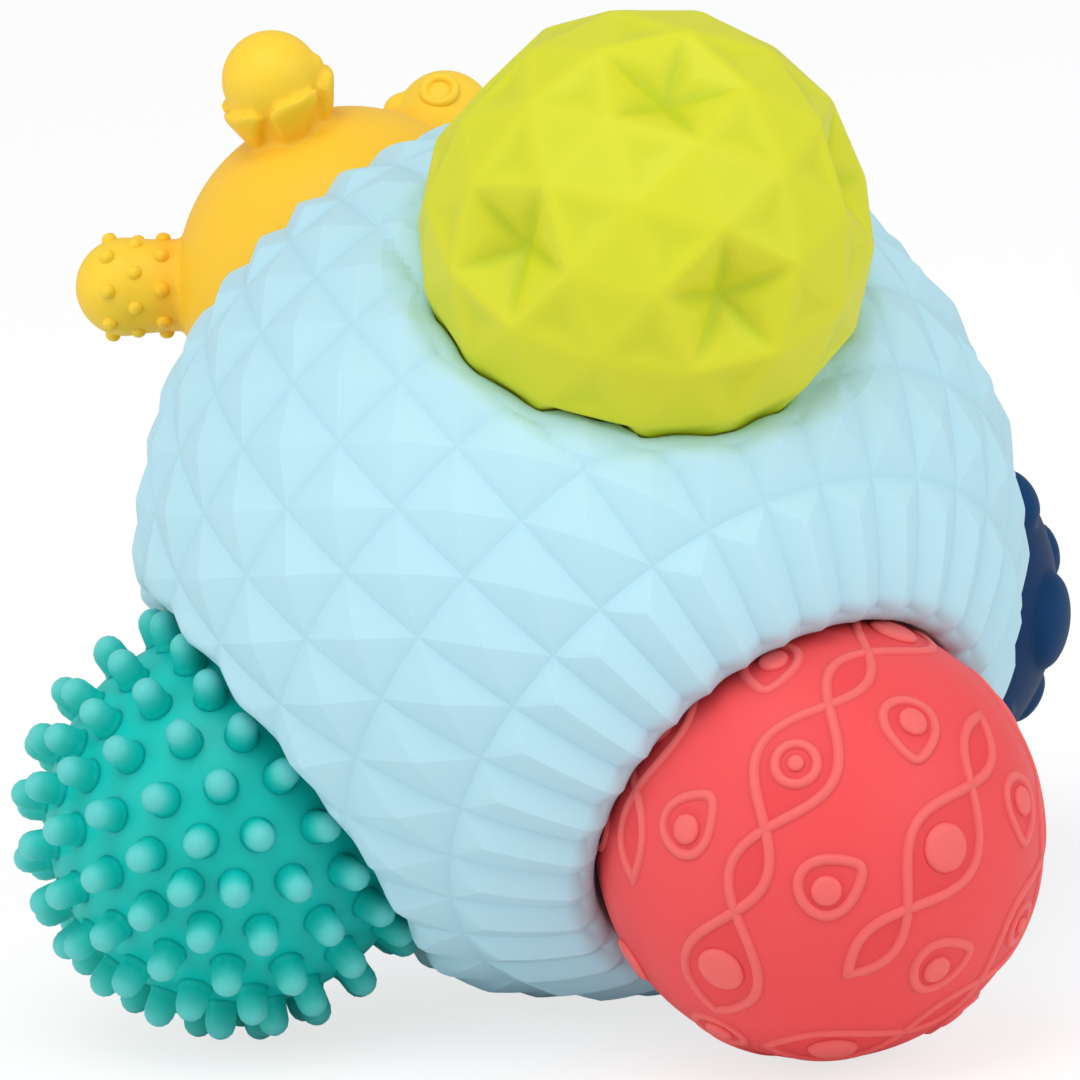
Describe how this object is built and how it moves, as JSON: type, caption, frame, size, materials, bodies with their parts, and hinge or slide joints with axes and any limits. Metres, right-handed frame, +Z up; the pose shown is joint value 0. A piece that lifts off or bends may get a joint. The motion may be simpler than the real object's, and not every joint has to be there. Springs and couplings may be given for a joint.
{
  "type": "sensory ball",
  "caption": "Soft hollow quilted ball with round sockets, each holding a smaller textured ball that pulls out by hand.",
  "frame": {"origin": "the point where the big ball touches the surface that it stands on", "axes": "+Z up; the side that the picture shows faces -Y, with the teal ball at -X and the red ball at +X"},
  "size_m": [0.192, 0.1928, 0.1855],
  "materials": {
    "big_ball": "satin soft vinyl",
    "red_ball": "satin soft vinyl",
    "yellow_ball": "satin soft vinyl",
    "lime_ball": "satin soft vinyl",
    "teal_ball": "satin soft vinyl",
    "navy_ball": "satin soft vinyl"
  },
  "bodies": {
    "big_ball": {"ball_shell": "big_ball", "red_cup": "big_ball", "yellow_cup": "big_ball", "lime_cup": "big_ball", "teal_cup": "big_ball", "navy_cup": "big_ball"},
    "red_ball": {"red_skin": "red_ball", "red_plug": "red_ball"},
    "yellow_ball": {"yellow_skin": "yellow_ball", "yellow_plug": "yellow_ball"},
    "lime_ball": {"lime_skin": "lime_ball", "lime_plug": "lime_ball"},
    "teal_ball": {"teal_skin": "teal_ball", "teal_plug": "teal_ball"},
    "navy_ball": {"navy_skin": "navy_ball", "navy_plug": "navy_ball"}
  },
  "joints": [
    {"name": "red_pull", "type": "slide", "parent": "big_ball", "child": "red_ball", "axis": [0.4962, -0.6982, -0.5161], "range_m": [0, 0.06]},
    {"name": "yellow_pull", "type": "slide", "parent": "big_ball", "child": "yellow_ball", "axis": [-0.4962, 0.6982, 0.5161], "range_m": [0, 0.06]},
    {"name": "lime_pull", "type": "slide", "parent": "big_ball", "child": "lime_ball", "axis": [0.1966, -0.4887, 0.85], "range_m": [0, 0.06]},
    {"name": "teal_pull", "type": "slide", "parent": "big_ball", "child": "teal_ball", "axis": [-0.8307, -0.2088, -0.5161], "range_m": [0, 0.06]},
    {"name": "navy_pull", "type": "slide", "parent": "big_ball", "child": "navy_ball", "axis": [0.6341, 0.6975, -0.3339], "range_m": [0, 0.06]}
  ]
}
